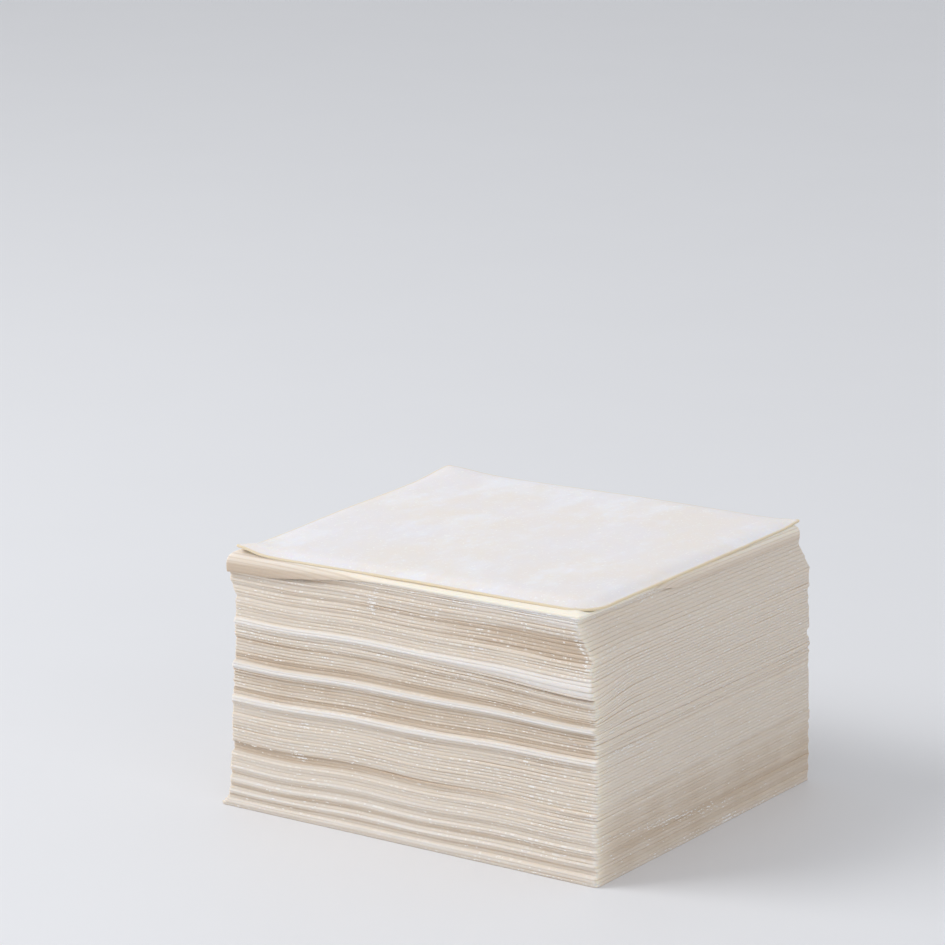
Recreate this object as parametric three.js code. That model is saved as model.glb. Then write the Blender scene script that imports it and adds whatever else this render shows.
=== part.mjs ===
// A stack of wonton wrappers: thin, nearly square sheets of pressed wheat dough, dusted with flour
// and piled by hand, so that every sheet lies a little out of line with the one below it.
//
// Millimetres, +Z up. The stack stands on z = 0 and the origin is at the middle of its footprint.
// Its front side faces -Y and its right side faces +X. A place on a sheet is given by u and v,
// which run from -1 to 1 along X and along Y.

import * as THREE from 'three';

// ---- driving dimensions ----
const WRAPPER_X = 90;
const WRAPPER_Y = 82;
const WRAPPER_COUNT = 82;
const STACK_HEIGHT = 55; // at the left edge, where the stack is lowest
const LOOSE_COUNT = 16; // the wrappers at the top, which aren't pressed together
const LOOSE_PITCH = 0.74;
const AIR_GAP = 0.13; // between a wrapper and the one above it

// ---- wrappers that cling in pairs ----
const FIRST_PAIRED = 7;
const LAST_PAIRED = 50;

// ---- how the sheets lie ----
const WAVE_HEIGHT = 0.34; // the wave along the front edge, at its deepest
const WAVE_LENGTH = 36;
const WAVE_CREST_X = -13.5;
const SIDE_WAVE_HEIGHT = 0.35; // shallower waves along the left and the back edge
const SIDE_WAVE_LENGTH = 36;
const WAVE_REACH = 32; // how far a wave runs into the stack
const CORNER_SAG = 1.9; // how far the sheets hang down at the front right corner
const SAG_REACH_X = 50;
const SAG_REACH_Y = 22;
const FLARE = 2.4; // how far the lowest sheets spread at the front left corner
const FLARE_LEVEL = 1.6;
const FLARE_REACH = 14;
const JITTER = 0.16; // how far a sheet is out of line with its neighbours
const JITTER_TURN = THREE.MathUtils.degToRad(0.12);
const ROLLED_SHEETS = 4; // the sheets under the top one, whose edges roll over together
const EDGE_ROLL = 1;
const ROLL_WIDTH = 4;

// The stack leans, turns and narrows as it rises: the level in mm, the slide along X, the turn in
// degrees and the size against the lowest sheet.
const LEAN = [
  { level: 0, slide: 0, turn: 0, size: 1 },
  { level: 24, slide: 0.2, turn: -0.2, size: 0.988 },
  { level: 38, slide: 0.3, turn: -0.8, size: 0.978 },
  { level: 44.5, slide: 0.5, turn: -1.6, size: 0.973 },
  { level: 49, slide: -1.55, turn: -1.7, size: 0.97 },
  { level: STACK_HEIGHT, slide: -1.55, turn: -1.7, size: 0.97 },
];

// How much higher the right edge of a level is than its left edge.
const RISE = [
  { level: 0, rise: 0 },
  { level: 5, rise: 1.1 },
  { level: 12, rise: 1.2 },
  { level: 24, rise: 2 },
  { level: STACK_HEIGHT, rise: 2 },
];

// How far the sheets at a level stand out: over the front at its left end, its middle and its right
// end, and over the right side. They bunch into ridges near the base. Above, three books of sheets
// jut out at their tops, and the one near level 40 hangs out as a lip at its right end.
const EDGES = [
  { level: 0, left: 0.1, middle: 0.1, right: 0.1, side: 0.05 },
  { level: 1.7, left: 0.35, middle: 0.35, right: 0.3, side: 0.15 },
  { level: 2.5, left: -0.2, middle: -0.2, right: -0.15, side: -0.1 },
  { level: 3.9, left: 0.3, middle: 0.3, right: 0.25, side: 0.15 },
  { level: 4.6, left: -0.25, middle: -0.25, right: -0.2, side: -0.1 },
  { level: 6.1, left: 0.35, middle: 0.3, right: 0.25, side: 0.15 },
  { level: 6.9, left: -0.25, middle: -0.2, right: -0.1, side: -0.15 },
  { level: 8.7, left: 0.35, middle: 0.3, right: 0.15, side: 0.1 },
  { level: 9.7, left: 0, middle: -0.05, right: 0, side: 0 },
  { level: 11.3, left: 0.2, middle: 0.15, right: 0.1, side: 0.05 },
  { level: 12.1, left: -0.75, middle: -0.3, right: 0, side: 0 },
  { level: 13.6, left: -0.7, middle: -0.25, right: 0, side: 0 },
  { level: 14, left: -0.1, middle: -0.1, right: 0, side: -0.1 },
  { level: 19.6, left: 0.25, middle: 0.05, right: 0.1, side: 0.05 },
  { level: 20.2, left: 0, middle: 0, right: 0, side: 0 },
  { level: 22, left: 0, middle: 0, right: 0, side: 0 },
  { level: 23.7, left: 0.95, middle: 0.9, right: 0.75, side: 0.3 },
  { level: 24.1, left: -0.3, middle: -0.3, right: -0.3, side: -0.2 },
  { level: 25.3, left: -0.4, middle: -0.35, right: -0.3, side: -0.2 },
  { level: 29, left: -0.3, middle: -0.3, right: -0.35, side: -0.1 },
  { level: 29.4, left: 0.3, middle: 0.1, right: 0, side: 0 },
  { level: 31, left: 0.95, middle: 0.95, right: 0.9, side: 0.15 },
  { level: 31.5, left: -0.4, middle: -0.4, right: -0.3, side: -0.2 },
  { level: 32.2, left: -0.45, middle: -0.45, right: -0.35, side: -0.2 },
  { level: 33, left: -0.15, middle: -0.15, right: -0.15, side: 0 },
  { level: 35.9, left: -0.25, middle: -0.25, right: -0.3, side: 0 },
  { level: 36.2, left: -0.5, middle: -0.5, right: -0.5, side: -0.1 },
  { level: 36.6, left: 0.1, middle: 0.05, right: 0.1, side: 0 },
  { level: 37.4, left: 0.3, middle: 0.25, right: 0.3, side: 0.1 },
  { level: 37.9, left: 0.2, middle: 0, right: -0.5, side: 0.1 },
  { level: 38.3, left: 0.35, middle: 0.2, right: 0.9, side: 0.2 },
  { level: 40, left: 0.95, middle: 0.95, right: 0.95, side: 0.3 },
  { level: 40.4, left: -0.05, middle: -0.1, right: 0.4, side: 0.1 },
  { level: 43.4, left: 0.2, middle: 0.15, right: 0.2, side: 0 },
  { level: 44.9, left: -0.2, middle: -0.25, right: -0.1, side: 0 },
  { level: 46.9, left: -0.1, middle: -0.1, right: 0, side: 0 },
  { level: 47.1, left: -0.35, middle: -0.35, right: -0.3, side: -0.1 },
  { level: 47.5, left: 0, middle: 0, right: 0, side: 0 },
  { level: 50, left: 0.15, middle: 0.1, right: 0.05, side: 0 },
  { level: 50.5, left: -0.65, middle: -0.3, right: 0, side: 0 },
  { level: 51.3, left: -0.6, middle: -0.2, right: 0, side: -0.05 },
  { level: 51.8, left: 0.1, middle: 0.1, right: 0.1, side: 0 },
  { level: STACK_HEIGHT, left: 0.55, middle: 0.5, right: 0.45, side: 0.25 },
];

// The top sheet lies straighter than the ones below it, and its corners curl.
const TOP_SHEET = { slide: -0.6, turn: 0.2, size: 0.963, bend: 0.35, skew: 1.8 };
const FLUSH = { left: 0, middle: 0, right: 0, side: 0 };
const CURLS = [
  { u: -1, v: -1, lift: 0.8, reach: 9 },
  { u: 1, v: -1, lift: 1.4, reach: 9 },
  { u: 1, v: 1, lift: 0.4, reach: 4 },
  { u: -1, v: 1, lift: 1, reach: 9 },
];

// ---- how finely a sheet is split ----
const PLAIN_CELLS = [6, 5];
const ROLLED_CELLS = [8, 8];
const TOP_CELLS = [12, 12];

const DOUGH = new THREE.MeshStandardMaterial({ color: 0xe6dac8, roughness: 0.7, metalness: 0 });
const FLOURED_DOUGH = new THREE.MeshStandardMaterial({ color: 0xeee7e1, roughness: 0.85, metalness: 0 });

const { degToRad, lerp, smoothstep } = THREE.MathUtils;

/** A repeatable draw between -1 and 1. */
function seededDraw(seed) {
  let state = seed;
  return () => {
    state = (state * 48271) % 2147483647;
    return (2 * state) / 2147483647 - 1;
  };
}

/** The level of the underside of sheet k, from 0 for the lowest, before the stack's rise and waves. */
function levelOf(k) {
  const pressedCount = WRAPPER_COUNT - LOOSE_COUNT;
  const pressedPitch = (STACK_HEIGHT - LOOSE_COUNT * LOOSE_PITCH) / pressedCount;
  return Math.min(k, pressedCount) * pressedPitch + Math.max(k - pressedCount, 0) * LOOSE_PITCH;
}

/** The values of a table at a level, between the two rows on either side of it. */
function rowAt(rows, level) {
  const above = Math.max(1, rows.findIndex((row) => row.level >= level));
  const low = rows[above - 1];
  const high = rows[above];
  const part = (level - low.level) / (high.level - low.level);
  return Object.fromEntries(Object.keys(low).map((key) => [key, lerp(low[key], high[key], part)]));
}

/** How strongly the sheets at a level are waved: flat on the base, and flat again near the top. */
function waveStrength(level) {
  const settled = 1 - 0.35 * smoothstep(level, 12, 24);
  return smoothstep(level, 0, 6) * settled * (1 - smoothstep(level, 48, 54));
}

/** How strongly the sheets at a level sag at the front right corner: most under the lip. */
function sagStrength(level) {
  const aboveLip = 1 - 0.65 * smoothstep(level, 38, 40.5);
  return smoothstep(level, 26, 37) * aboveLip * (1 - smoothstep(level, 42, 52));
}

/** The height of the boundary at a level, over the point x, y. */
function heightAt(x, y, level) {
  const fromFront = y + WRAPPER_Y / 2;
  const fromLeft = x + WRAPPER_X / 2;
  const fromBack = WRAPPER_Y / 2 - y;
  const rise = rowAt(RISE, level).rise * (fromLeft / WRAPPER_X);
  const frontWave =
    WAVE_HEIGHT * (0.75 - (0.25 * x) / (WRAPPER_X / 2)) *
    Math.cos((2 * Math.PI * (x - WAVE_CREST_X)) / WAVE_LENGTH) * Math.exp(-fromFront / WAVE_REACH);
  const leftWave = Math.sin((2 * Math.PI * y) / SIDE_WAVE_LENGTH) * Math.exp(-fromLeft / WAVE_REACH);
  const backWave = Math.sin((2 * Math.PI * x) / SIDE_WAVE_LENGTH) * Math.exp(-fromBack / WAVE_REACH);
  const waves = frontWave + SIDE_WAVE_HEIGHT * (leftWave + backWave);
  const cornerX = smoothstep(x, WRAPPER_X / 2 - SAG_REACH_X, WRAPPER_X / 2);
  const cornerY = smoothstep(-y, WRAPPER_Y / 2 - SAG_REACH_Y, WRAPPER_Y / 2);
  const sag = CORNER_SAG * cornerX * cornerY * sagStrength(level);
  return level + rise + waves * waveStrength(level) - sag;
}

/**
 * Every sheet's outline: its half sizes, slide, turn, flare and skew, how far the ends of its front
 * stand out past its middle, and the levels of its faces.
 */
function layOutSheets() {
  const draw = seededDraw(20611);
  const sheets = [];
  for (let k = 0; k < WRAPPER_COUNT; k += 1) {
    const level = levelOf(k);
    const middle = level + 0.3;
    const isTop = k === WRAPPER_COUNT - 1;
    const lean = isTop ? TOP_SHEET : rowAt(LEAN, middle);
    const out = isTop ? FLUSH : rowAt(EDGES, middle);
    sheets.push({
      halfX: (lean.size * WRAPPER_X) / 2 + JITTER * draw(),
      halfY: (lean.size * WRAPPER_Y) / 2 + JITTER * draw(),
      slideX: lean.slide + out.side + JITTER * draw(),
      slideY: -out.middle + JITTER * draw(),
      turn: degToRad(lean.turn) + JITTER_TURN * draw(),
      flare: FLARE * Math.exp(-level / FLARE_LEVEL),
      skew: isTop ? TOP_SHEET.skew : 0,
      leftOut: out.left - out.middle,
      rightOut: out.right - out.middle,
      bottom: level,
      top: levelOf(k + 1) - AIR_GAP,
    });
  }
  return sheets;
}

/** How near the place u, v of a sheet is to one of its corners: 1 at the corner, and 0 far from it. */
function nearness(sheet, u, v, corner) {
  const away = Math.hypot((u - corner.u) * sheet.halfX, (v - corner.v) * sheet.halfY);
  return Math.exp(-((away / corner.reach) ** 2));
}

/** The x and y of the place u, v on a sheet. */
function placeOn(sheet, u, v) {
  const spread = sheet.flare * nearness(sheet, u, v, { u: -1, v: -1, reach: FLARE_REACH });
  const skewed = sheet.skew * ((1 - u) / 2) * ((1 + v) / 2);
  const out = Math.max(-u, 0) * sheet.leftOut + Math.max(u, 0) * sheet.rightOut;
  const x = u * sheet.halfX - spread - skewed;
  const y = v * sheet.halfY - out * ((1 - v) / 2);
  const cos = Math.cos(sheet.turn);
  const sin = Math.sin(sheet.turn);
  return [x * cos - y * sin + sheet.slideX, x * sin + y * cos + sheet.slideY];
}

/** 1 on the sheet's rim, falling to 0 a roll's width inside it. */
function edgeShare(sheet, u, v) {
  const inside = Math.min((1 - Math.abs(u)) * sheet.halfX, (1 - Math.abs(v)) * sheet.halfY);
  return 1 - smoothstep(inside, 0, ROLL_WIDTH);
}

/** How far the boundary above a number of sheets is rolled down at the rim. */
function rollOf(boundary) {
  const rolled = boundary - (WRAPPER_COUNT - 1 - ROLLED_SHEETS);
  return (EDGE_ROLL * Math.max(rolled, 0)) / ROLLED_SHEETS;
}

/** How far the top sheet is lifted at the place u, v by its curled corners, and bent down in front. */
function topSheetLift(sheet, u, v) {
  const curl = CURLS.reduce((sum, corner) => sum + corner.lift * nearness(sheet, u, v, corner), 0);
  const inFront = Math.max(smoothstep(u, 0, 1), smoothstep(-v, 0, 1));
  return curl - TOP_SHEET.bend * edgeShare(sheet, u, v) * inFront;
}

/** A point of sheet k at the place u, v and at a level between its two faces. */
function pointOn(sheets, k, u, v, level, boundary) {
  const sheet = sheets[k];
  const [x, y] = placeOn(sheet, u, v);
  const isTop = k === WRAPPER_COUNT - 1;
  const bend = isTop ? topSheetLift(sheet, u, v) : -rollOf(boundary) * edgeShare(sheet, u, v);
  return new THREE.Vector3(x, y, heightAt(x, y, level) + bend);
}

/** Places from -1 to 1: even on a plain sheet, and closer together towards a curled rim. */
function knots(cells, curled) {
  return Array.from({ length: cells + 1 }, (_, i) =>
    curled ? -Math.cos((Math.PI * i) / cells) : (2 * i) / cells - 1);
}

/** The places u, v round the rim, counterclockwise seen from above. */
function rimPlaces(us, vs) {
  const front = us.slice(0, -1).map((u) => [u, -1]);
  const right = vs.slice(0, -1).map((v) => [1, v]);
  const back = us.slice(1).reverse().map((u) => [u, 1]);
  const left = vs.slice(1).reverse().map((v) => [-1, v]);
  return [...front, ...right, ...back, ...left];
}

/** One face of a sheet as triangles of places, each cell split along the same diagonal. */
function faceTriangles(us, vs) {
  const triangles = [];
  for (let i = 0; i + 1 < us.length; i += 1) {
    for (let j = 0; j + 1 < vs.length; j += 1) {
      const near = [us[i], vs[j]];
      const right = [us[i + 1], vs[j]];
      const far = [us[i + 1], vs[j + 1]];
      const left = [us[i], vs[j + 1]];
      triangles.push([near, right, far], [near, far, left]);
    }
  }
  return triangles;
}

/** The closed thin solid of the sheets first to last, which cling to each other. */
function clingingSheets(sheets, first, last, cells, curled) {
  const us = knots(cells[0], curled);
  const vs = knots(cells[1], curled);
  const rim = rimPlaces(us, vs);
  const points = [];
  const add = (...corners) => points.push(...corners);
  const underside = ([u, v]) => pointOn(sheets, first, u, v, sheets[first].bottom, first);
  const upside = ([u, v]) => pointOn(sheets, last, u, v, sheets[last].top, last + 1);

  for (const [a, b, c] of faceTriangles(us, vs)) {
    add(underside(a), underside(c), underside(b));
    add(upside(a), upside(b), upside(c));
  }
  const rings = [];
  for (let k = first; k <= last; k += 1) {
    rings.push(rim.map(([u, v]) => pointOn(sheets, k, u, v, sheets[k].bottom, k)));
    rings.push(rim.map(([u, v]) => pointOn(sheets, k, u, v, sheets[k].top, k + 1)));
  }
  for (let r = 0; r + 1 < rings.length; r += 1) {
    for (let s = 0; s < rim.length; s += 1) {
      const next = (s + 1) % rim.length;
      add(rings[r][s], rings[r][next], rings[r + 1][next]);
      add(rings[r][s], rings[r + 1][next], rings[r + 1][s]);
    }
  }
  return new THREE.BufferGeometry().setFromPoints(points);
}

/** A sheet's number as two digits, from 01 for the lowest. */
function numberOf(k) {
  return String(k + 1).padStart(2, '0');
}

/** The whole stack: single wrappers at the top and the base, and clinging pairs between them. */
function buildStack() {
  const sheets = layOutSheets();
  const stack = new THREE.Group();
  let k = 0;
  while (k < WRAPPER_COUNT) {
    const isPaired = k + 1 >= FIRST_PAIRED && k + 1 < LAST_PAIRED;
    const last = isPaired ? k + 1 : k;
    const isTop = k === WRAPPER_COUNT - 1;
    const isRolled = k >= WRAPPER_COUNT - 1 - ROLLED_SHEETS;
    const rolledCells = isTop ? TOP_CELLS : ROLLED_CELLS;
    const cells = isRolled ? rolledCells : PLAIN_CELLS;
    const geometry = clingingSheets(sheets, k, last, cells, isRolled);
    const mesh = new THREE.Mesh(geometry, isTop ? FLOURED_DOUGH : DOUGH);
    mesh.name = isPaired ? `wrappers_${numberOf(k)}_${numberOf(last)}` : `wrapper_${numberOf(k)}`;
    stack.add(mesh);
    k = last + 1;
  }
  const middle = new THREE.Box3().setFromObject(stack).getCenter(new THREE.Vector3());
  stack.position.set(-middle.x, -middle.y, 0);
  return stack;
}

export default buildStack();
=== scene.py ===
"""A stack of wonton wrappers: thin floured sheets of dough, piled by hand. Shapes are in millimetres."""

import math

import bpy
import numpy as np
from bpy.props import FloatProperty, FloatVectorProperty, IntProperty, PointerProperty
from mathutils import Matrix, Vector


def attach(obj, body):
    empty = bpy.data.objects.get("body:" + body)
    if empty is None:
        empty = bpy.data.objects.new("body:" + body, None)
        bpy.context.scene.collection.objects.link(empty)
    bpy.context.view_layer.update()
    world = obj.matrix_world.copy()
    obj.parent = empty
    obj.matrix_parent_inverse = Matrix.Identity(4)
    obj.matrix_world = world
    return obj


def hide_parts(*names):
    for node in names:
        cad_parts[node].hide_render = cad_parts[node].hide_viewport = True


bl_info = {
    "name": "Wonton wrapper stack",
    "version": (1, 0, 0),
    "blender": (4, 5, 0),
    "location": "3D View > Sidebar > Wrappers",
    "description": "Builds a hand-piled stack of floured wonton wrappers",
    "category": "Add Mesh",
}

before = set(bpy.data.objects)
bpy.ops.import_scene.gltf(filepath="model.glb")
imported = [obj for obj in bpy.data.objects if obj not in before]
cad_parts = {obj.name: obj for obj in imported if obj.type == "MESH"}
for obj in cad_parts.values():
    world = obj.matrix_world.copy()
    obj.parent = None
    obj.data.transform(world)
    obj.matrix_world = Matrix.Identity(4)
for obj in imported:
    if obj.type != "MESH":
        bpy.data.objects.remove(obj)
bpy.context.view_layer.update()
MM = 0.001

# ---- how the sheets lie, in millimetres and degrees; u and v run from -1 to 1 along X and Y ----
LOOSE_COUNT = 16
LOOSE_PITCH = 0.74
MID_SHEET = 0.3
FIRST_PAIRED = 7
LAST_PAIRED = 50
WAVE_LENGTH = 36
WAVE_CREST_X = -13.5
WAVE_SHARE, WAVE_LOSS_X = 0.75, 0.25
SIDE_WAVE_HEIGHT = 0.35
SIDE_WAVE_LENGTH = 36
WAVE_REACH = 32
# Levels between which the waves grow, settle by a share and fade out.
WAVES_GROW, WAVES_SETTLE, WAVES_FADE = (0, 6), (12, 24), (48, 54)
SETTLED_SHARE = 0.35
SAG_REACH_X = 50
SAG_REACH_Y = 16
# Levels between which the corner's sag grows, drops by a share above the lip and fades out.
SAG_GROWS, SAG_LEAVES_LIP, SAG_FADES = (26, 37), (38, 40.5), (42, 52)
LIP_SHARE = 0.65
FLARE = 2.4
FLARE_LEVEL = 1.6
FLARE_REACH = 14
JITTER = 0.16
JITTER_TURN = math.radians(0.12)
JITTER_SEED = 20611
SEED_FACTOR, SEED_MODULUS = 48271, 2147483647
ROLLED_SHEETS = 4
EDGE_ROLL = 1.0
ROLL_WIDTH = 4.0

# Columns of the tables below, after the level.
LEFT, MIDDLE, RIGHT, SIDE = 1, 2, 3, 4

# Level, slide along X, turn in degrees and size against the lowest sheet.
LEAN = np.array([
    (0, 0, 0, 1),
    (24, 0.2, -0.2, 0.988),
    (38, 0.3, -0.8, 0.978),
    (44.5, 0.5, -1.6, 0.973),
    (49, -1.55, -1.7, 0.97),
    (55, -1.55, -1.7, 0.97),
])

# Level, and how much higher its right edge is than its left edge.
RISE = np.array([(0, 0), (5, 1.1), (12, 1.2), (24, 2), (55, 2)])

# Level, and how far the sheets stand out: over the front at its left end, its middle and its right
# end, and over the right side. They bunch into ridges near the base. Above, three books of sheets
# jut out at their tops, and the one near level 40 hangs out as a lip at its right end.
EDGES = np.array([
    (0, 0.1, 0.1, 0.1, 0.05),
    (0.8, 0.5, 0.55, 0.45, 0.15),
    (1.5, 0.5, 0.55, 0.45, 0.15),
    (1.8, 0.1, 0.1, 0.1, 0.05),
    (2.15, -0.2, -0.15, -0.2, -0.05),
    (2.5, -0.1, -0.1, -0.1, -0.05),
    (2.95, 0.25, 0.25, 0.15, 0),
    (3.5, 0.5, 0.55, 0.35, 0.05),
    (4.05, 0.1, 0.1, 0.05, 0),
    (4.4, -0.25, -0.2, -0.2, -0.03),
    (4.85, -0.1, -0.1, -0.1, -0.03),
    (5.6, 0.4, 0.4, 0.3, 0.1),
    (6.1, 0.5, 0.45, 0.35, 0.15),
    (6.5, 0.1, 0.1, 0.1, 0),
    (6.9, -0.3, -0.2, -0.15, -0.05),
    (7.6, 0, 0, 0, 0),
    (8.3, 0.4, 0.4, 0.25, 0.05),
    (8.8, 0.4, 0.4, 0.25, 0.1),
    (9.4, 0.15, 0.15, 0.15, 0),
    (10.2, 0.1, 0.05, 0.1, 0),
    (11.3, 0.3, 0.3, 0.2, 0.05),
    (11.6, 0.15, 0.15, 0.1, 0),
    (12.1, -0.75, -0.3, 0, 0),
    (13.6, -0.8, -0.3, 0, 0),
    (14, -0.1, -0.1, 0, -0.2),
    (14.3, 0, 0, 0, 0.05),
    (17, 0, 0, 0.05, 0),
    (19.4, 0.3, 0.05, 0.1, 0.05),
    (20, 0.2, 0, -0.1, 0),
    (20.3, 0, 0, 0.05, 0),
    (22, 0.05, 0, -0.1, 0),
    (22.5, 0.45, 0.4, 0.3, 0.1),
    (23.1, 0.9, 0.85, 0.7, 0.3),
    (23.5, 0.9, 0.85, 0.7, 0.3),
    (23.9, 0.5, 0.45, 0.4, 0.1),
    (24.1, -0.4, -0.42, -0.4, -0.3),
    (25.3, -0.45, -0.43, -0.4, -0.3),
    (25.8, -0.15, -0.2, -0.15, 0),
    (26.2, -0.3, -0.35, -0.3, 0),
    (26.8, -0.3, -0.35, -0.3, -0.4),
    (27.3, -0.3, -0.35, -0.3, -0.05),
    (28.9, -0.3, -0.3, -0.35, -0.1),
    (29.3, 0.3, 0.1, 0, 0),
    (30.2, 0.85, 0.8, 0.75, 0.1),
    (30.6, 0.9, 0.85, 0.8, 0.15),
    (30.9, 0.5, 0.5, 0.45, 0),
    (31.2, -0.5, -0.75, -0.5, -0.2),
    (32.1, -0.5, -0.75, -0.5, -0.2),
    (33, -0.2, -0.2, -0.2, 0),
    (35.9, -0.3, -0.3, -0.3, 0),
    (36.2, -0.3, -0.3, -0.25, -0.05),
    (36.6, 0.1, 0.05, 0.1, 0),
    (37.4, 0.3, 0.25, 0.3, 0.1),
    (37.9, 0.2, 0, -0.3, 0.1),
    (38.3, 0.35, 0.2, 0.85, 0.2),
    (39.3, 0.85, 0.8, 0.9, 0.3),
    (39.7, 0.9, 0.9, 0.85, 0.3),
    (40.1, 0.5, 0.5, 0.65, 0.2),
    (40.4, -0.05, -0.1, 0.4, 0.1),
    (41.4, -0.15, -0.1, 0.2, 0),
    (42.4, 0, 0, 0.2, 0),
    (43, 0.15, 0.1, -0.1, 0),
    (43.8, 0.25, 0, -0.45, 0),
    (44.6, -0.15, -0.25, -0.6, 0),
    (45.0, -0.1, -0.15, -0.6, 0),
    (45.8, 0.2, 0, -0.55, -0.05),
    (46.6, 0, -0.2, -0.65, -0.05),
    (47.0, -0.15, -0.3, -0.6, -0.05),
    (47.8, 0.25, 0.1, -0.25, -0.05),
    (48.6, -0.2, 0, 0.1, 0),
    (49.0, -0.15, 0.05, 0.2, 0),
    (49.7, 0.3, 0.2, 0.4, 0),
    (50, 0.1, 0.15, 0.55, 0),
    (50.4, -0.5, -0.1, 0.65, 0),
    (51.0, -0.4, 0, 0.7, -0.1),
    (51.6, 0.1, 0.25, 0.85, -0.3),
    (53, 0.3, 0.4, 1.1, 0.2),
    (55, 0.75, 0.6, 1.1, 0.6),
])

# Level, and how far the sheets have come apart, from 0 where they cling to 1 where they are loose:
# in front at its left end, its middle and its right end, and on the right side.
LOOSENESS = np.array([
    (0, 0.12, 0.15, 0.35, 0.15),
    (12, 0.12, 0.25, 0.45, 0.2),
    (12.5, 0.3, 0.4, 0.55, 0.2),
    (20, 0.3, 0.45, 0.8, 0.2),
    (22, 0.25, 0.4, 0.75, 0.2),
    (23.9, 0.1, 0.15, 0.3, 0.2),
    (25, 0.5, 0.5, 0.5, 0.25),
    (29, 0.5, 0.5, 0.6, 0.25),
    (30, 0.1, 0.1, 0.15, 0.2),
    (31.2, 0.1, 0.1, 0.15, 0.2),
    (32.5, 0.55, 0.6, 0.6, 0.25),
    (37.5, 0.55, 0.6, 0.5, 0.25),
    (38.5, 0.4, 0.3, 0.2, 0.25),
    (40.2, 0.15, 0.15, 0.25, 0.25),
    (42, 0.2, 0.5, 0.7, 0.2),
    (50, 0.2, 0.55, 0.9, 0.15),
    (55, 0.25, 0.5, 0.8, 0.15),
])

# Level, and how much further the sheets stand out on the left and at the back.
LEFT_AND_BACK = np.array([
    (0, 0, 0.4),
    (5, 0.4, 0.7),
    (36, 0.4, 0.8),
    (40, 0.6, 0.8),
    (48, 0.6, 0.9),
    (51, 0, 0.3),
    (54, 0, 0),
])

# ---- the top sheet: its lie, how far its ends stand out, and how far its front and right rims bend ----
TOP_SLIDE, TOP_TURN, TOP_SIZE = -0.6, 0.2, 0.963
TOP_OUT = (-0.6, -0.2, 1.4, 0)
FRONT_BEND, RIGHT_BEND = (0.65, 0.72, 0.95), (0.85, 0.5)
TOP_FLARE = 0.7
TOP_SKEW = 1.8
TOP_TAPER, TAPER_WIDTH = 0.28, 3.0
TOP_CORNER_RADII = (0.7, 6.5, 0.7, 0.7)
TOP_RINGS = (32, 25, 19, 14, 10, 6.5, 4, 2.4, 1.2, 0.5)
TOP_WAVES = (3, 70)
TOP_SEED = 802
# Places of the top sheet that curl up or sag: u, v, lift and reach.
CURLS = ((-1, -1, 1.4, 5), (1, 1, 0.5, 4), (-1, 1, 1.0, 9))

# ---- the fine form of a sheet ----
SHEET_GAP = 0.02
SHEET_THICKNESS = 0.66
LOOSE_GAP = 0.06
CORNER_RADIUS = 0.7
PER_SIDE = 100
PER_CORNER = 7
NOSE_RINGS = 7
PLAIN_RINGS = (30, 3, 0.6)
EDGE_NOSE = 0.14
CLUNG_NOSE = 0.15
NOSE_ROUND, FACE_ROUND = 0.7, 0.8
RIM_FADE = (0.25, 0.6)
# How far in from the rim its stand-out and its unevenness fade.
OUT_REACH, UNEVEN_REACH = 1.5, 2
# Waves of the cut, of the seams and of their gaping: fewest and most round the rim, and size.
CUT_WAVES, CUT_NOISE, CLUNG_CUT = (5, 60), 0.03, 0.3
PLY_WAVES, PLY_RIPPLE = (4, 44), 0.022
GAPE_WAVES, GAPE_RANGE = (3, 26), (-0.2, 1.4)
SHEET_SEED, BOUNDARY_SEED = 700, 9000
# Patches of looseness: their least share and how much they add, and the random cosines they sum.
PATCH_LEAST, PATCH_ADDS = 0.55, 0.9
PATCH_SEED, PATCH_COUNT, PATCH_TURNS, PATCH_CLIMB, PATCH_RANGE = 313, 14, (2, 22), 0.8, 1.1

# ---- the tone of a cut edge: painted shade under a ledge, near the base on the right and at the top left ----
# Painted shade under a ledge, a painted highlight on top of it, and the step over which the ledge is
# measured.
SHADE_BELOW_LEDGE, HIGHLIGHT_ABOVE_LEDGE, LEDGE_STEP = 0.7, 0.2, 0.4
# How much of the right side's stand-out shows in its painted shade and paleness.
SIDE_TONE = 0.4
# Painted shade on the cut edges at the top left, under the second sheet: how much, where it ends along the
# front and the levels where it grows.
TOP_LEFT_SHADE, TOP_LEFT_SHADE_ENDS, TOP_LEFT_SHADE_LEVELS = 0.6, (-0.2, 0.8), (51.5, 53.5)
# Painted shade on the right side near the base: how much, its start and its rise, and the levels where it
# grows and fades.
BASE_SHADE, BASE_SHADE_START, BASE_SHADE_RISE = 0.42, 0.55, 0.45
BASE_SHADE_GROWS, BASE_SHADE_FADES = (0, 5), (4, 20)
TONE_FLOOR, TONE_SPAN = 0.5, 1.5
# How far the painted glow of light through the thin dough reaches from the front right corner; below it, how
# far the flour there reaches and its share on the right.
PAINTED_GLOW_REACH = 2.8
DUST_REACH, DUST_ON_RIGHT = 0.5, 0.5

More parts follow.
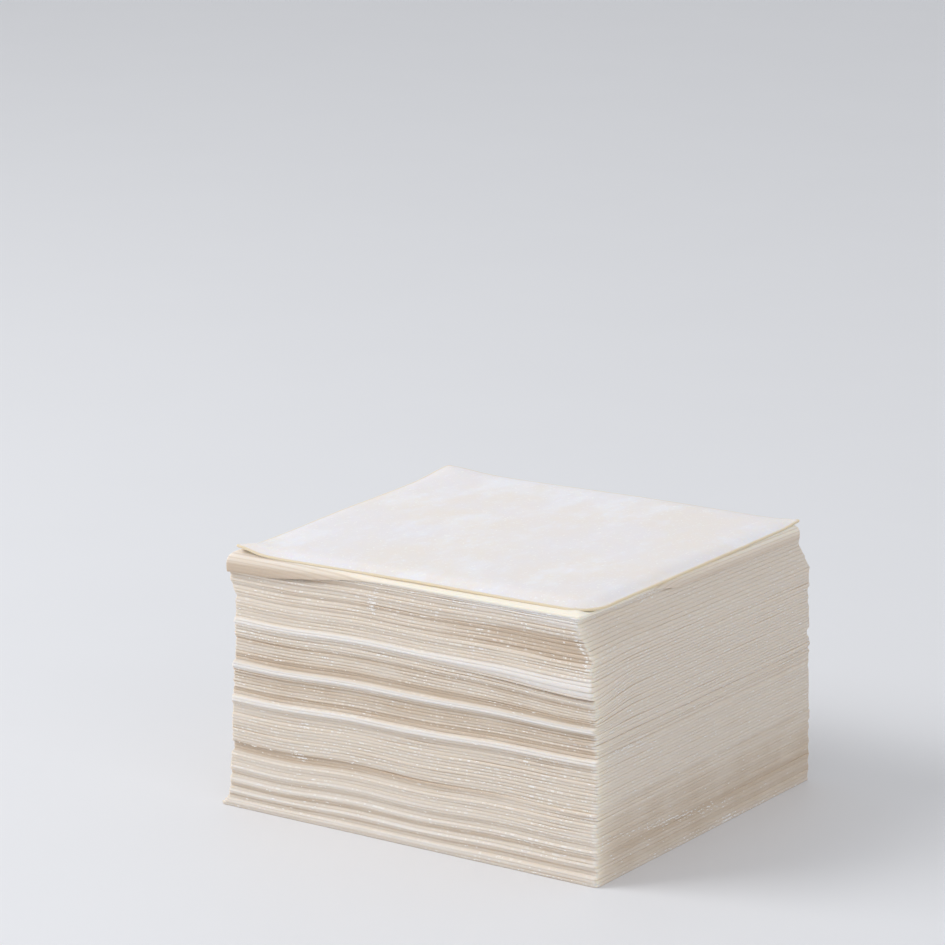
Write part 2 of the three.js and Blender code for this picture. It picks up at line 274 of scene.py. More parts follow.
# ---- the second sheet, whose rim hangs over the ones below it ----
HANG = 2.3
CORNER_HANG, CORNER_HANG_REACH = 1.25, 40
HANG_START, HANG_FULL = 34, 80
HANG_SIDE_SCALE = 2.15
HANG_ROOM, HANG_COVER, LEAST_UPRIGHT = 0.1, (1.0, 0.4), 0.4
HANG_WAVES, HANG_RIPPLE = (3, 40), 0.06
UNHUNG_ROLL = 1.15
BULGE_WIDTH = 2.4
CORNER_BULGE_WIDTH, CORNER_BULGE_REACH = 1.6, 12
BULGE_TURN = math.radians(112)
BULGE_FULLNESS = 1.5
BULGE_FORWARD, FORWARD_REACH = 0.5, 3
BEND_RINGS = 13
SECOND_RINGS = (34, 22, 12, 7, 4.6)
SECOND_FLARE = 0.9
SECOND_NOSE, SECOND_LIP = 0.08, 0.1
SECOND_SEED = 801
# Its tone: where the bend shades it, and how much, everywhere, where it hangs and in front.
SHADED_BEND = (0.4, 0.9)
FOLD_PALE, FOLD_SHADE, HUNG_SHADE, FRONT_SHADE = 0.65, 0.3, 0.15, 0.5
FOLD_RIM, FOLD_TONE, FOLD_LOOSE = 0.75, 0.6, 0.4
# Where the second sheet takes the painted golden glow of the shaded crease under the top sheet's lip: its
# least share and the insets over which it grows.
CREASE_LEAST, CREASE_INSETS = 0.2, (1.2, 2.6)

# ---- loose flour: side (0 front, 1 right), place along it and height of the middle, spread along it,
# spread in height, slope and number of flakes ----
CLUMPS = (
    (0, 37.3, 49.2, 1.1, 0.9, 1.5, 75),
    (0, 18, 20.6, 0.8, 0.35, 0, 30),
    (0, 17, 13.9, 0.9, 0.5, 0, 35),
    (0, 89.4, 49, 0.25, 3.5, 0, 70),
    (1, 29, 6.6, 11, 0.35, -0.09, 120),
    (1, 23.5, 53.9, 2.2, 0.5, 0, 60),
    (1, 49.5, 0.9, 1.6, 0.4, 0, 45),
    (1, 40, 1.0, 22, 0.2, 0, 70),
    (1, 10, 25.9, 4, 0.12, 0, 40),
)
FLOUR_SEED = 4077
# A flake's chance anywhere and where a seam gapes, its rings, and its sizes: least and most.
FLAKE_CHANCE, GAPE_CHANCE = 0.06, 1.4
SET_BACK_SHARE, PROUD_ADDS, PROUD_RANGE = 0.3, 0.7, (0.1, 0.4)
FLAKE_RINGS = (2.6, 4.6)
FLAKE_LENGTH, FLAKE_LONGER, LONG_ONES = 0.18, 0.5, 1.6
FLAKE_WIDTH, FLAKE_THICKNESS = (0.09, 0.17), 0.4

# ---- the dough's material; pairs are the values between which a share grows from 0 to 1 ----
# A cut edge's paleness: how it varies by sheet and in blotches, and where its colours change, from the
# painted shade of a set-back edge to the paler edge that stands out.
SHEET_TONES, BLOTCH_TONES = 0.12, 0.25
TUCKED_TO_LEVEL, LEVEL_TO_PROUD = (-0.05, 0.3), (0.42, 0.85)
# The painted shade of the groove at both seams: its least, what looseness adds, how much of the seam's gaping
# shows where the sheets cling, and how much of the groove shows above.
GROOVE_EDGE, GROOVE_LEAST, GROOVE_LOOSE, GROOVE_SEAM, GROOVE_ABOVE = (0.5, 1.0), 0.12, 0.3, 0.3, 0.4
# Painted shade on the lower, downward-facing half of each edge: where that half ends, its least, and what
# looseness adds.
LOWER_HALF, LOWER_HALF_SHADE, LOWER_HALF_SHADE_LOOSE = (0.0, 0.6), 0.1, 0.25
# Dashes of flour under the upper corner: their noise, their clouds, and how much of them shows where
# the sheets are loose, where they stand out and where they cling.
UPPER_START, UPPER_END = (0.25, 0.5), (0.75, 0.95)
DASH_SHIFT, DASH_NOISE, DASH_CLOUDS, DASH_LEAST = 400, (0.54, 0.62), (0.42, 0.6), 0.3
DASH_LOOSE, DASH_PROUD, DASH_PROUD_FROM, DASH_CLUNG = 0.9, 0.45, (0.15, 0.4), 0.55
# The film of flour, the flour beside the corner, the painted golden glow in the shaded crease under the top
# sheet's lip, and the layers of the fold.
FILM_STRETCH, FILM_NOISE, FILM_SHARE = (0.35, 0.35, 1.6), (0.62, 0.8), 0.2
DUST_NOISE = (0.35, 0.6)
CREASE_SEAM, CREASE_GLOW_SHARE = (0.3, 1.0), 0.8
LAYER_LINE, LAYER_FROM, LAYER_LEAST, LAYER_FILM = (0.2, 1.0), (0.3, 1.0), 0.2, 0.5
GRAIN_HEIGHT, FILM_HEIGHT, DASH_HEIGHT = 0.4, 0.3, 0.5

# ---- the floured top's material: its warm patches and its dusting in patches, clouds and flecks ----
TOP_STRETCH, TOP_WARMTH = (1.0, 0.6, 1.0), (0.35, 0.65)
DUST_PATCHES, PATCH_SHARE = (0.45, 0.7), 0.6
DUST_CLOUDS, CLOUD_SHARE = (0.5, 0.75), 0.4
FLECK_LEAST, FLECK_VARIES, FLECK_NOISE, FLECK_SHARE = 0.6, 0.8, (0.6, 0.75), 0.35
SPECK_NOISE, SPECK_LEAST = (0.66, 0.72), 0.4
TOP_GRAIN_HEIGHT, TOP_CLOUD_HEIGHT = 0.35, 0.65

# ---- the stage, in metres ----
LIGHT_AIM = (0, 0, 30 * MM)
KEY_PLACE, KEY_SIZE = (-0.75, -0.55, 0.85), 0.7
FILL_PLACE, FILL_SIZE = (0.9, -0.5, 0.5), 0.8
SKY_COLOUR = (0.97, 0.98, 1.0, 1.0)
FLOOR_RADIUS, FLOOR_POINTS, FLOOR_TINT = 6.0, 96, 0.98
SENSOR_WIDTH, FAR_CLIP = 36, 50


# ---------------------------------------------------------------- mesh helpers

def smooth_step(value, low, high):
    """0 below low, 1 above high, and a smooth S between them."""
    t = np.clip((value - low) / (high - low), 0, 1)
    return t * t * (3 - 2 * t)


def column(table, level, i):
    """Column i of a table at a level, evenly between the rows, whose first column is their level."""
    return np.interp(level, table[:, 0], table[:, i])


def between_ends(left, middle, right, u):
    """From a left value over a middle one to a right one, evenly as u runs from -1 over 0 to 1."""
    return middle + np.maximum(-u, 0) * (left - middle) + np.maximum(u, 0) * (right - middle)


def along_front(table, level, u):
    """A table's value in front, at a level and a place from the left end to the right end."""
    left, middle, right = (column(table, level, i) for i in (LEFT, MIDDLE, RIGHT))
    return between_ends(left, middle, right, u)


def seeded_draws(seed, count):
    """Repeatable numbers from -1 to 1: each state is the last one times a factor, modulo a prime."""
    draws = []
    for _ in range(count):
        seed = seed * SEED_FACTOR % SEED_MODULUS
        draws.append(2 * seed / SEED_MODULUS - 1)
    return draws


def shell_faces(rings, around):
    """Corners and sizes of the faces of a closed shell: rings from the pole underneath, out over the
    rim and in to the pole on top, with quads between rings and a fan of triangles at each pole."""
    here = np.arange(around)
    after = np.roll(here, -1)
    first = (np.arange(rings - 1) * around)[:, None]
    quads = np.stack([first + here, first + after, first + around + after, first + around + here], -1)
    last = (rings - 1) * around
    under, over = rings * around, rings * around + 1
    low_fan = np.stack([np.full(around, under), after, here], -1)
    high_fan = np.stack([np.full(around, over), last + here, last + after], -1)
    corners = np.concatenate([quads.reshape(-1), low_fan.reshape(-1), high_fan.reshape(-1)])
    sizes = np.concatenate([np.full(quads.size // 4, 4), np.full(2 * around, 3)])
    return corners, sizes


def closed_shell(grid, marks):
    """Vertices, face corners, face sizes and vertex marks of a shell whose rings are grid[ring, around].
    Each pole is the mean of its ring."""
    rings, around = grid.shape[:2]
    poles = np.stack([grid[0].mean(0), grid[-1].mean(0)])
    points = np.concatenate([grid.reshape(-1, 3), poles])
    point_marks = {}
    for name, value in marks.items():
        full = np.broadcast_to(value, (rings, around))
        point_marks[name] = np.concatenate([full.ravel(), [full[0].mean(), full[-1].mean()]])
    corners, sizes = shell_faces(rings, around)
    return points, corners, sizes, point_marks


def make_piece(name, shells, material, nodes=(), smooth=True):
    """One object from closed shells given in millimetres, with the shells' marks as point attributes.
    It rides on the root body and stands for the given CAD nodes."""
    points = np.concatenate([shell[0] for shell in shells]) * MM
    offsets = np.cumsum([0] + [len(shell[0]) for shell in shells[:-1]])
    corners = np.concatenate([shell[1] + offset for shell, offset in zip(shells, offsets)])
    sizes = np.concatenate([shell[2] for shell in shells])
    mesh = bpy.data.meshes.new(name)
    mesh.vertices.add(len(points))
    mesh.vertices.foreach_set("co", points.ravel())
    mesh.loops.add(len(corners))
    mesh.loops.foreach_set("vertex_index", corners.astype(np.int32))
    mesh.polygons.add(len(sizes))
    starts = np.concatenate([[0], np.cumsum(sizes)[:-1]])
    mesh.polygons.foreach_set("loop_start", starts.astype(np.int32))
    mesh.polygons.foreach_set("use_smooth", np.full(len(sizes), smooth))
    for mark in shells[0][3]:
        values = np.concatenate([shell[3][mark] for shell in shells]).astype(np.float32)
        mesh.attributes.new(mark, "FLOAT", "POINT").data.foreach_set("value", values)
    mesh.update(calc_edges=True)
    mesh.validate()
    mesh.materials.append(material)
    piece = bpy.data.objects.new(name, mesh)
    bpy.context.scene.collection.objects.link(piece)
    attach(piece, "root")
    if nodes:
        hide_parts(*nodes)
    return piece


# ---------------------------------------------------------------- the stack's form

class Stack:
    """The lie of all sheets, worked out from the sizes in the sidebar panel."""

    def __init__(self, sizes):
        self.count = sizes.count
        self.wide = sizes.wrapper_x / MM
        self.deep = sizes.wrapper_y / MM
        self.height = sizes.height / MM
        self.rise = sizes.right_rise / MM / RISE[-1, 1]
        self.wave = sizes.wave_height / MM
        self.sag = sizes.corner_sag / MM
        draws = iter(seeded_draws(JITTER_SEED, 5 * self.count))
        self.sheets = [self.lay_sheet(k, draws) for k in range(self.count)]
        self.shift = np.zeros(2)
        self.shift = -self.footprint().mean(0)

    def level(self, k):
        """The level of the underside of sheet k: an even pitch where the sheets are pressed, and a
        wider one for the loose sheets at the top."""
        pressed = self.count - LOOSE_COUNT
        pitch = (self.height - LOOSE_COUNT * LOOSE_PITCH) / pressed
        return min(k, pressed) * pitch + max(k - pressed, 0) * LOOSE_PITCH

    def lay_sheet(self, k, draws):
        """Half sizes, slide, turn, flare, skew, ends' stand-out and levels of sheet k."""
        level = self.level(k)
        middle = level + MID_SHEET
        top = k == self.count - 1
        slide, turn, size = (column(LEAN, middle, i) for i in (1, 2, 3))
        out = np.array([column(EDGES, middle, i) for i in (LEFT, MIDDLE, RIGHT, SIDE)])
        if top:
            slide, turn, size, out = TOP_SLIDE, TOP_TURN, TOP_SIZE, np.array(TOP_OUT)
        wide, deep, across, along, twist = (next(draws) for _ in range(5))
        return {
            "half_x": size * self.wide / 2 + JITTER * wide,
            "half_y": size * self.deep / 2 + JITTER * deep,
            "slide_x": slide + out[SIDE - 1] + JITTER * across,
            "slide_y": -out[MIDDLE - 1] + JITTER * along,
            "turn": math.radians(turn) + JITTER_TURN * twist,
            "flare": FLARE * math.exp(-level / FLARE_LEVEL),
            "skew": TOP_SKEW if top else 0,
            "out": out,
            "jitter": JITTER * np.array([deep - along, wide + across, deep + along, wide - across]),
            "bottom": level,
            "middle": middle,
            "top": self.level(k + 1) - SHEET_GAP,
        }

    def nearness(self, sheet, u, v, corner_u, corner_v, reach):
        """A bell that is 1 at a corner of the sheet and falls off with the distance from it."""
        away = np.hypot((u - corner_u) * sheet["half_x"], (v - corner_v) * sheet["half_y"])
        return np.exp(-((away / reach) ** 2))

    def place(self, sheet, u, v):
        """The x and y of u, v: scaled to the sheet, spread at its flared corner, turned and slid."""
        spread = sheet["flare"] * self.nearness(sheet, u, v, -1, -1, FLARE_REACH)
        skewed = sheet["skew"] * (1 - u) / 2 * (1 + v) / 2
        left, middle, right = sheet["out"][:3]
        out = between_ends(left - middle, 0, right - middle, u)
        x = u * sheet["half_x"] - spread - skewed
        y = v * sheet["half_y"] - out * (1 - v) / 2
        cos, sin = math.cos(sheet["turn"]), math.sin(sheet["turn"])
        return (
            x * cos - y * sin + sheet["slide_x"] + self.shift[0],
            x * sin + y * cos + sheet["slide_y"] + self.shift[1],
        )

    def footprint(self):
        """The lowest and highest x and y of all sheets' corners."""
        u, v = np.array([-1, 0, 1, 1, 0, -1]), np.array([-1, -1, -1, 1, 1, 1])
        corners = np.concatenate([np.stack(self.place(sheet, u, v), -1) for sheet in self.sheets])
        return np.stack([corners.min(0), corners.max(0)])

    def height_at(self, x, y, level):
        """The height of a level over x, y: the level itself, a rise to the right, a fading cosine along
        the front, fading sines along the left and the back, less a sag at the front right corner."""
        x, y = x - self.shift[0], y - self.shift[1]
        from_left, from_front, from_back = x + self.wide / 2, y + self.deep / 2, self.deep / 2 - y
        rise = self.rise * column(RISE, level, 1) * from_left / self.wide
        along = np.cos(2 * np.pi * (x - WAVE_CREST_X) / WAVE_LENGTH)
        wave = self.wave * (WAVE_SHARE - WAVE_LOSS_X * x / (self.wide / 2))
        front = wave * along * np.exp(-from_front / WAVE_REACH)
        left = np.sin(2 * np.pi * y / SIDE_WAVE_LENGTH) * np.exp(-from_left / WAVE_REACH)
        back = np.sin(2 * np.pi * x / SIDE_WAVE_LENGTH) * np.exp(-from_back / WAVE_REACH)
        settled = 1 - SETTLED_SHARE * smooth_step(level, *WAVES_SETTLE)
        strength = smooth_step(level, *WAVES_GROW) * settled * (1 - smooth_step(level, *WAVES_FADE))
        corner = smooth_step(x, self.wide / 2 - SAG_REACH_X, self.wide / 2)
        corner = corner * smooth_step(-y, self.deep / 2 - SAG_REACH_Y, self.deep / 2)
        above_lip = 1 - LIP_SHARE * smooth_step(level, *SAG_LEAVES_LIP)
        sagging = smooth_step(level, *SAG_GROWS) * above_lip * (1 - smooth_step(level, *SAG_FADES))
        waves = front + SIDE_WAVE_HEIGHT * (left + back)
        return level + rise + waves * strength - self.sag * corner * sagging

    def hang(self, sheet, u, v):
        """How fully the second sheet hangs over its rim, from 0 near the front right corner to 1 away
        from it, how far it drops there and over what width it bends. Both are largest at the front
        left corner."""
        away = np.hypot((u - 1) * sheet["half_x"], HANG_SIDE_SCALE * (v + 1) * sheet["half_y"])
        share = smooth_step(away, HANG_START, HANG_FULL)
        near = self.nearness(sheet, u, v, -1, -1, CORNER_HANG_REACH)
        drop = EDGE_ROLL + HANG * share + CORNER_HANG * near
        near = self.nearness(sheet, u, v, -1, -1, CORNER_BULGE_REACH)
        width = BULGE_WIDTH + CORNER_BULGE_WIDTH * near
        return share, drop, width

    def room_under_hang(self, sheet, u, v, level, roll):
        """How far a rim is set in to clear the second sheet's hanging rim: the inset of the ellipse at
        this depth and the thickness of the sheet across it."""
        share, drop, width = self.hang(sheet, u, v)
        depth = self.sheets[-2]["top"] - level + roll
        to_upright = drop / (1 - math.cos(BULGE_TURN))
        upright = np.sqrt(1 - (1 - np.clip(depth / to_upright, 0, 1)) ** 2)
        covered = 1 - smooth_step(depth, drop - HANG_COVER[0], drop - HANG_COVER[1])
        inset = width * (1 - upright) ** BULGE_FULLNESS
        across = (SHEET_THICKNESS + HANG_ROOM) / np.maximum(upright, LEAST_UPRIGHT)
        return share * covered * (inset + across)


def rim_path(sheet, radii=(CORNER_RADIUS,) * 4):
    """u and v round a rectangle with rounded corners, counterclockwise from the front left corner:
    per side an even straight run, then a quarter circle. Also how much each place belongs to the
    front, the right, the back and the left, by the squares of its outward direction."""
    half = np.array([sheet["half_x"], sheet["half_y"]])
    corners = np.array([(-1, -1), (1, -1), (1, 1), (-1, 1)]) * half
    run = np.linspace(0, 1, PER_SIDE, endpoint=False)[:, None]
    bend = np.linspace(-np.pi / 2, 0, PER_CORNER, endpoint=False)
    places, facings = [], []
    for side in range(4):
        start, end = corners[side], corners[(side + 1) % 4]
        radius = radii[(side + 1) % 4]
        along = np.sign(np.round(end - start))
        out = np.array([along[1], -along[0]])
        first, last = start + along * radii[side], end - along * radius
        places.append(first + (last - first) * run)
        turned = bend + side * np.pi / 2
        places.append(last - out * radius + radius * np.stack([np.cos(turned), np.sin(turned)], -1))
        facings += [np.full(PER_SIDE, side * np.pi / 2 - np.pi / 2), turned]
    u, v = (np.concatenate(places) / half).T
    facing = np.concatenate(facings)
    outward = (-np.sin(facing), np.cos(facing), np.sin(facing), -np.cos(facing))
    return u, v, np.clip(np.stack(outward), 0, 1) ** 2


def patches(around, level):
    """A smooth random field from 0 to 1 on the cut faces: a sum of cosines of the place round the rim
    and of the level, with random frequencies and phases."""
    rng = np.random.default_rng(PATCH_SEED)
    place = np.linspace(0, 2 * np.pi, around, endpoint=False)
    field = 0
    for _ in range(PATCH_COUNT):
        turns, climb = rng.integers(*PATCH_TURNS), rng.uniform(-PATCH_CLIMB, PATCH_CLIMB)
        phase = rng.uniform(0, 2 * np.pi)
        field = field + np.cos(turns * place + climb * 2 * np.pi * level + phase)
    return smooth_step(field / math.sqrt(PATCH_COUNT), -PATCH_RANGE, PATCH_RANGE)


def ripple(rng, around, waves, size):
    """A closed wavy line: a sum of cosines with from the fewest to the most waves round the rim, random
    in phase and in size, falling off by the root of the number of waves, and scaled to a size."""
    turns = np.arange(*waves)
    phase = rng.uniform(0, 2 * np.pi, len(turns))[:, None]
    share = (rng.uniform(0.3, 1, len(turns)) * (waves[0] / turns) ** 0.5)[:, None]
    line = (share * np.cos(2 * np.pi * turns[:, None] * np.arange(around) / around + phase)).sum(0)
    return size * line / line.std()


def profile(inner):
    """Inset and face of the rings of a sheet: out along its underside, round a blunt nose, and in
    along its upper side. The nose is a superellipse: its inset is given as a share of its depth.
    Face is 0 on the underside and 1 on the upper side."""
    angle = np.linspace(-np.pi / 2, np.pi / 2, NOSE_RINGS)
    nose_inset = 1 - np.abs(np.cos(angle)) ** NOSE_ROUND
    nose_face = (1 + np.sign(angle) * np.abs(np.sin(angle)) ** FACE_ROUND) / 2
    none = np.zeros(len(inner))
    inset = np.concatenate([inner, np.zeros(NOSE_RINGS), inner[::-1]])
    nose = np.concatenate([none + 1, nose_inset, none + 1])
    face = np.concatenate([none, nose_face, none + 1])
    return inset[:, None], nose[:, None], face[:, None]


def rim_share(inset):
    """1 on the cut edge, falling to 0 inside it."""
    return 1 - smooth_step(inset, *RIM_FADE)


def boundary_ripple(k, around):
    """The small unevenness of the boundary under sheet k, in mm, and how far it gapes, from 0 to 1."""
    rng = np.random.default_rng(BOUNDARY_SEED + k)
    uneven = ripple(rng, around, PLY_WAVES, PLY_RIPPLE)
    gape = smooth_step(ripple(rng, around, GAPE_WAVES, 1.0), *GAPE_RANGE)
    return uneven, gape


def looseness(level, u, shares):
    """How far the sheets have come apart round the rim: the table's value, varied by patches."""
    loose = shares[0] * along_front(LOOSENESS, level, u) + (1 - shares[0]) * column(LOOSENESS, level, SIDE)
    return np.clip(loose * (PATCH_LEAST + PATCH_ADDS * patches(len(u), level)), 0, 1)


def stand_out(sheet, level, u, v, loose):
    """How far the rim moves out along x and along y: from where the whole sheet lies to the line that
    the stack's edge follows at each level. Where the sheet clings it loses its own jitter."""
    left, middle, right, rigid_side = sheet["out"]
    jitter_front, jitter_right, jitter_back, jitter_left = (loose - 1) * sheet["jitter"][:, None, None]
    left_out, back_out = (column(LEFT_AND_BACK, level, i) for i in (1, 2))
    lean = column(LEAN, level, 1) - column(LEAN, sheet["middle"], 1)
    shift = column(EDGES, level, SIDE) - rigid_side + lean
    in_front = along_front(EDGES, level, u) - between_ends(left, middle, right, u) + jitter_front
    behind = middle - column(EDGES, level, MIDDLE) + (back_out + jitter_back)
    out_x = np.where(u > 0, shift + jitter_right, left_out + jitter_left - shift)
    return out_x, np.where(v < 0, in_front, behind)


def edge_tone(level, u, shares):
    """How pale a cut edge is painted, from 0 where it is set back, in painted shade, to 1 where it stands
    out, paler partly with flour and partly with painted light. Painted shade makes it more tan under a ledge,
    near the base on the right and at the top left, and a painted highlight makes it paler on top of a ledge."""
    # Painted shade where the edge tilts down under a ledge, and a painted highlight where it tilts up on top
    # of it.
    ledge = along_front(EDGES, level + LEDGE_STEP, u) - along_front(EDGES, level - LEDGE_STEP, u)
    front = along_front(EDGES, level, u) - SHADE_BELOW_LEDGE * np.clip(ledge, 0, 1)
    front = front + HIGHLIGHT_ABOVE_LEDGE * np.clip(-ledge, 0, 1)
    tone = shares[0] * front + (1 - shares[0]) * column(EDGES, level, SIDE) * SIDE_TONE
    # Painted shade at the top left, under the second sheet's rim.
    to_the_left = 1 - smooth_step(u, *TOP_LEFT_SHADE_ENDS)
    tone = tone - TOP_LEFT_SHADE * shares[0] * to_the_left * smooth_step(level, *TOP_LEFT_SHADE_LEVELS)
    # Painted shade on the right side near the base.
    base = BASE_SHADE_START + BASE_SHADE_RISE * smooth_step(level, *BASE_SHADE_GROWS)
    tone = tone - BASE_SHADE * shares[1] * (base - smooth_step(level, *BASE_SHADE_FADES))
    return np.clip((tone + TONE_FLOOR) / TONE_SPAN, 0, 1)


def beside_corner(sheet, u, v, shares):
    """Marks beside the front right corner: flour in a narrow strip, and the painted glow of light through the
    thin dough on the right side."""
    away = np.hypot((1 - u) * sheet["half_x"], (1 + v) * sheet["half_y"])
    return {
        "dust": (shares[0] + shares[1] * DUST_ON_RIGHT) * np.exp(-away / DUST_REACH),
        "painted_glow": shares[1] * np.exp(-away / PAINTED_GLOW_REACH),
    }


def plain_sheet(stack, k):
    """Sheet k: scaled copies of its rim as rings, each at the height of its level over x and y. Its
    edge is moved out to the line that the stack's edge follows at its level, and where it clings to
    its neighbours it loses its own jitter, its rounding and its gap."""
    sheet = stack.sheets[k]
    path_u, path_v, shares = rim_path(sheet)
    around = len(path_u)
    ring_inset, nose, face = profile(PLAIN_RINGS)
    level = sheet["bottom"] + face * (sheet["top"] - sheet["bottom"])
    loose = looseness(level, path_u, shares)
    out_x, out_y = stand_out(sheet, level, path_u, path_v, loose)
    rng = np.random.default_rng(SHEET_SEED + k)
    uneven = ripple(rng, around, CUT_WAVES, CUT_NOISE) * (CLUNG_CUT + (1 - CLUNG_CUT) * loose)
    depth = EDGE_NOSE * (CLUNG_NOSE + (1 - CLUNG_NOSE) * loose)
    out_share = np.exp(-ring_inset / OUT_REACH)
    low_roll, high_roll = rolled_share(stack, k), rolled_share(stack, k + 1)
    hang = stack.hang(sheet, path_u, path_v)[0]
    roll = EDGE_ROLL * (low_roll + face * (high_roll - low_roll)) * (UNHUNG_ROLL + (1 - UNHUNG_ROLL) * hang)
    inset = ring_inset + nose * depth - uneven * out_share
    inset = inset + stack.room_under_hang(sheet, path_u, path_v, level, roll)
    u = path_u * (1 - (inset - out_x * out_share) / sheet["half_x"])
    v = path_v * (1 - (inset - out_y * out_share) / sheet["half_y"])
    x, y = stack.place(sheet, u, v)
    z = stack.height_at(x, y, level) - roll * (1 - smooth_step(inset, 0, ROLL_WIDTH))
    low_uneven, low_gape = boundary_ripple(k, around)
    high_uneven, high_gape = boundary_ripple(k + 1, around)
    near_rim = np.exp(-np.abs(inset) / UNEVEN_REACH)
    if k > 0:
        z = z + near_rim * (low_uneven * (1 - face) + high_uneven * face)
    z = z - face * near_rim * LOOSE_GAP * loose * high_gape
    marks = {
        "face": face,
        "rim": rim_share(ring_inset),
        "tone": rng.uniform(0, 1),
        # Painted tone of the cut edge: painted shade where it is set back, paler where it stands out, partly
        # flour and partly painted light.
        "proud": edge_tone(level, path_u, shares),
        "loose": loose,
        "seam": low_gape + face * (high_gape - low_gape),
        "ply": 0,
        **beside_corner(sheet, path_u, path_v, shares),
    }
    return np.stack([x, y, z], -1), marks


def rolled_share(stack, boundary):
    """How much of the full roll the boundary above a number of sheets has."""
    return min(max(boundary - (stack.count - 1 - ROLLED_SHEETS), 0) / ROLLED_SHEETS, 1)


def hung_rim(flat_insets, bend, lip_angle, drop, width):
    """Inset and depth of the rings of a rim that bends down along an ellipse, past upright. Its
    underside is set in by the sheet's thickness along the ellipse's normal."""
    half_drop = drop / (1 - math.cos(BULGE_TURN))
    out = width * (1 - np.sin(bend)) ** BULGE_FULLNESS
    down = half_drop * (1 - np.cos(bend))
    slope = BULGE_FULLNESS * (1 - np.sin(bend)) ** (BULGE_FULLNESS - 1) * np.cos(bend)
    steep = np.stack([half_drop * np.sin(bend), width * slope])
    steep = steep / np.hypot(*steep)
    flat_down = 0 * flat_insets
    upper_inset = np.concatenate([flat_insets, out])
    upper_down = np.concatenate([flat_down, down])
    under_inset = np.concatenate([flat_insets, out + SHEET_THICKNESS * steep[0]])
    under_down = np.concatenate([flat_down + SHEET_THICKNESS, down + SHEET_THICKNESS * steep[1]])
    lip = (1 + np.sin(lip_angle)) / 2
    end_inset = under_inset[-1] + (upper_inset[-1] - under_inset[-1]) * lip
    end_down = under_down[-1] + (upper_down[-1] - under_down[-1]) * lip + SECOND_LIP * np.cos(lip_angle)
    inset = np.concatenate([under_inset, end_inset, upper_inset[::-1]])
    return inset, np.concatenate([under_down, end_down, upper_down[::-1]])


def blunt_rim(flat_insets, bend, lip_angle, width):
    """Inset of the same number of rings for a plain blunt rim."""
    side = width * (1 - bend / bend[-1]) ** 2 + SECOND_NOSE
    nose = SECOND_NOSE * (1 - np.cos(lip_angle) ** NOSE_ROUND) + 0 * width
    side = np.concatenate([flat_insets, side])
    return np.concatenate([side, nose, side[::-1]])


def second_sheet(stack):
    """The sheet under the top one. Where it hangs, its rim bends down over the sheets below it. Near
    the front right corner its rim is a blunt edge that rolls down a little, as on those sheets."""
    sheet = {**stack.sheets[stack.count - 2], "flare": SECOND_FLARE}
    path_u, path_v, shares = rim_path(sheet)
    rng = np.random.default_rng(SECOND_SEED)
    hang, drop, width = stack.hang(sheet, path_u, path_v)
    drop = drop + ripple(rng, len(path_u), HANG_WAVES, HANG_RIPPLE)
    bend = np.linspace(0, BULGE_TURN, BEND_RINGS)[:, None]
    lip_angle = np.linspace(-np.pi / 2, np.pi / 2, NOSE_RINGS)[1:-1, None]
    flat_insets = np.array(SECOND_RINGS)[:, None] + 0 * drop
    hung_inset, hung_down = hung_rim(flat_insets, bend, lip_angle, drop, width)
    blunt = blunt_rim(flat_insets, bend, lip_angle, width)
    flat, curve = len(flat_insets), len(bend)
    lip = (1 + np.sin(lip_angle[:, 0])) / 2
    face = np.concatenate([np.zeros(flat + curve), lip, np.ones(flat + curve)])[:, None]
    rolled = EDGE_ROLL * UNHUNG_ROLL * (1 - smooth_step(blunt, 0, ROLL_WIDTH))
    rolled = rolled + (1 - face) * SHEET_THICKNESS
    inset = blunt + (hung_inset - blunt) * hang
    down = rolled + (hung_down - rolled) * hang
    forward = BULGE_FORWARD * hang * (path_v < 0) * np.exp(-inset / FORWARD_REACH)
    u = path_u * (1 - inset / sheet["half_x"])
    v = path_v * (1 - (inset - forward) / sheet["half_y"])
    x, y = stack.place(sheet, u, v)
    z = stack.height_at(x, y, sheet["top"]) - down
    under_bend = np.concatenate([np.zeros(flat), smooth_step(bend[:, 0] / bend[-1], *SHADED_BEND)])
    shade = np.concatenate([under_bend, np.ones(len(lip)), under_bend[::-1]])[:, None]
    marks = {
        "face": face,
        "rim": hang * (shade + (1 - shade) * FOLD_RIM * shares[0]),
        "tone": FOLD_TONE,
        "proud": FOLD_PALE - shade * (FOLD_SHADE + (HUNG_SHADE + FRONT_SHADE * shares[0]) * hang),
        "loose": FOLD_LOOSE,
        # Painted golden glow in the shaded crease under the top sheet's lip.
        "seam": CREASE_LEAST + (1 - CREASE_LEAST) * smooth_step(inset, *CREASE_INSETS),
        "ply": hang * down / LOOSE_PITCH,
        **beside_corner(sheet, path_u, path_v, shares),
    }
    return np.stack([x, y, z], -1), marks


